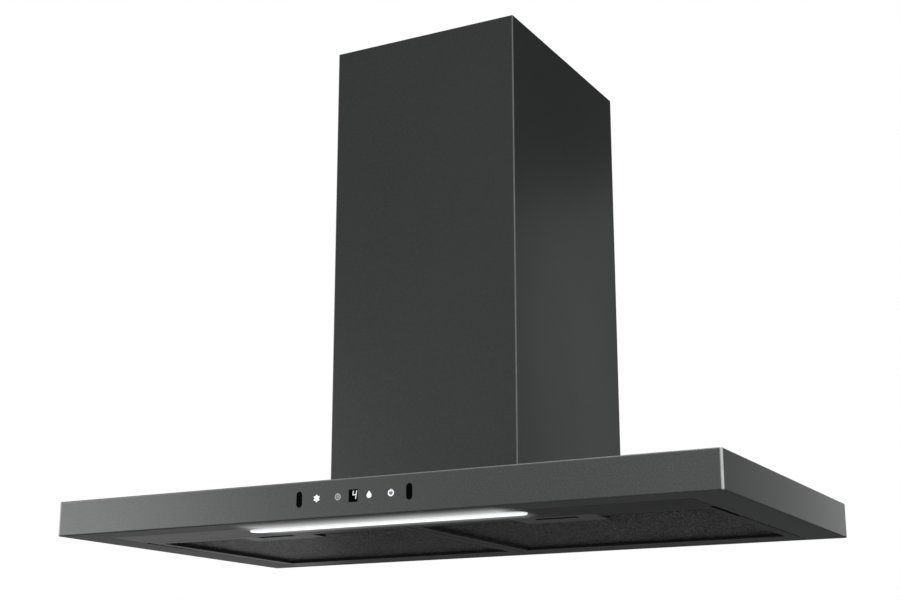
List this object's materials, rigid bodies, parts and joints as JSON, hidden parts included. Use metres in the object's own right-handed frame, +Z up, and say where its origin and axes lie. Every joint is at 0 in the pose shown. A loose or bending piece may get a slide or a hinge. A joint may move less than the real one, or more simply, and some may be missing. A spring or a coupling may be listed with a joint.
{
  "type": "chimney range hood",
  "caption": "Wall-hung cooker hood: flat steel canopy with hinged mesh filters, light bar and touch controls, under a square telescopic chimney with blower and damper.",
  "frame": {"origin": "centre of the four wall holes in the blower tower's back plate, on the wall plane", "axes": "+X to the right along the wall as one faces it, +Y into the wall, +Z up"},
  "size_m": [0.9, 0.5, 0.677],
  "materials": {
    "canopy_steel": "dark coated stainless steel, fine grain along the width",
    "chimney_steel": "dark coated stainless steel, fine grain across the width",
    "underside_steel": "dark satin stainless steel",
    "latch_steel": "smooth dark satin steel",
    "slider_steel": "plain steel",
    "filter_mesh": "layers of dark expanded mesh",
    "light_diffuser": "frosted white diffuser, lit",
    "light_body": "white powder coat",
    "lamp_chip": "lamp chips",
    "circuit_board": "green lacquered board",
    "black_plastic": "fine textured black",
    "dark_window": "dark smoked window",
    "lit_digit": "lit strokes",
    "lit_icon": "back-lit white",
    "grey_icon": "back-lit grey",
    "galvanised_sheet": "galvanised sheet",
    "motor_paint": "dark grey paint",
    "wheel_alloy": "pressed blades",
    "plain_steel": "bright zinc",
    "capacitor_case": "white can",
    "soft_rubber": "soft black rubber",
    "outlet_plastic": "black moulded plastic",
    "wire_sheath": "black sleeve"
  },
  "bodies": {
    "root": {"canopy_shell": "canopy_steel", "underside_frame": "underside_steel", "canopy_stiffeners": "galvanised_sheet", "tower_base_ring": "galvanised_sheet", "chimney_base_collar": "canopy_steel", "light_lens": "light_diffuser", "light_channel": "light_body", "led_board": "circuit_board", "led_chips": "lamp_chip", "led_driver": "black_plastic", "control_housing": "black_plastic", "control_board": "circuit_board", "display_window": "dark_window", "display_digit": "lit_digit", "sensor_window_left": "dark_window", "sensor_window_right": "dark_window", "blower_tower": "galvanised_sheet", "tower_front_panel": "galvanised_sheet", "tower_top_plate": "galvanised_sheet", "tower_screws": "plain_steel", "volute_wrap": "galvanised_sheet", "volute_side_left": "galvanised_sheet", "volute_side_right": "galvanised_sheet", "inlet_bell_left": "galvanised_sheet", "inlet_bell_right": "galvanised_sheet", "blower_motor": "motor_paint", "motor_bracket": "galvanised_sheet", "run_capacitor": "capacitor_case", "outlet_gasket": "soft_rubber", "vibration_mounts": "soft_rubber", "outlet_collar": "outlet_plastic", "damper_pin": "plain_steel", "electronics_box": "black_plastic", "electronics_lid": "black_plastic", "power_board": "circuit_board", "wiring_loom": "wire_sheath", "cable_gland": "black_plastic", "chimney_lower_cover": "chimney_steel", "cover_guides": "galvanised_sheet", "icon_fan": "lit_icon", "icon_clock": "grey_icon", "icon_droplet": "lit_icon", "icon_power": "lit_icon"},
    "filter_left": {"filter_frame_left": "underside_steel", "filter_mesh_left": "filter_mesh", "latch_plate_left": "latch_steel", "latch_spring_left": "slider_steel"},
    "filter_right": {"filter_frame_right": "underside_steel", "filter_mesh_right": "filter_mesh", "latch_plate_right": "latch_steel", "latch_spring_right": "slider_steel"},
    "latch_left": {"latch_slider_left": "slider_steel"},
    "latch_right": {"latch_slider_right": "slider_steel"},
    "blower_wheel": {"impeller": "wheel_alloy", "motor_shaft": "plain_steel"},
    "damper_front": {"damper_flap_front": "outlet_plastic"},
    "damper_rear": {"damper_flap_rear": "outlet_plastic"},
    "chimney_upper": {"chimney_upper_cover": "chimney_steel", "chimney_wall_bracket": "galvanised_sheet", "cover_screws": "plain_steel"}
  },
  "joints": [
    {"name": "filter_left_swing", "type": "hinge", "parent": "root", "child": "filter_left", "pos_m": [0, -0.0383, -0.2487], "axis": [1, 0, 0], "range_deg": [0, 50]},
    {"name": "latch_left_pull", "type": "slide", "parent": "filter_left", "child": "latch_left", "axis": [0, 1, 0], "range_m": [0, 0.006], "stiffness_N_per_m": 400, "springref_m": -0.003, "deforming": ["latch_spring_left"]},
    {"name": "filter_right_swing", "type": "hinge", "parent": "root", "child": "filter_right", "pos_m": [0, -0.0383, -0.2487], "axis": [1, 0, 0], "range_deg": [0, 50]},
    {"name": "latch_right_pull", "type": "slide", "parent": "filter_right", "child": "latch_right", "axis": [0, 1, 0], "range_m": [0, 0.006], "stiffness_N_per_m": 400, "springref_m": -0.003, "deforming": ["latch_spring_right"]},
    {"name": "blower_spin", "type": "hinge", "parent": "root", "child": "blower_wheel", "pos_m": [0, -0.1222, -0.0648], "axis": [1, 0, 0], "continuous": true},
    {"name": "damper_front_lift", "type": "hinge", "parent": "root", "child": "damper_front", "pos_m": [0, -0.1872, 0.1582], "axis": [-1, 0, 0], "range_deg": [0, 75]},
    {"name": "damper_rear_lift", "type": "hinge", "parent": "root", "child": "damper_rear", "pos_m": [0, -0.1872, 0.1582], "axis": [1, 0, 0], "range_deg": [0, 75]},
    {"name": "chimney_raise", "type": "slide", "parent": "root", "child": "chimney_upper", "axis": [0, 0, 1], "range_m": [0, 0.3]}
  ]
}
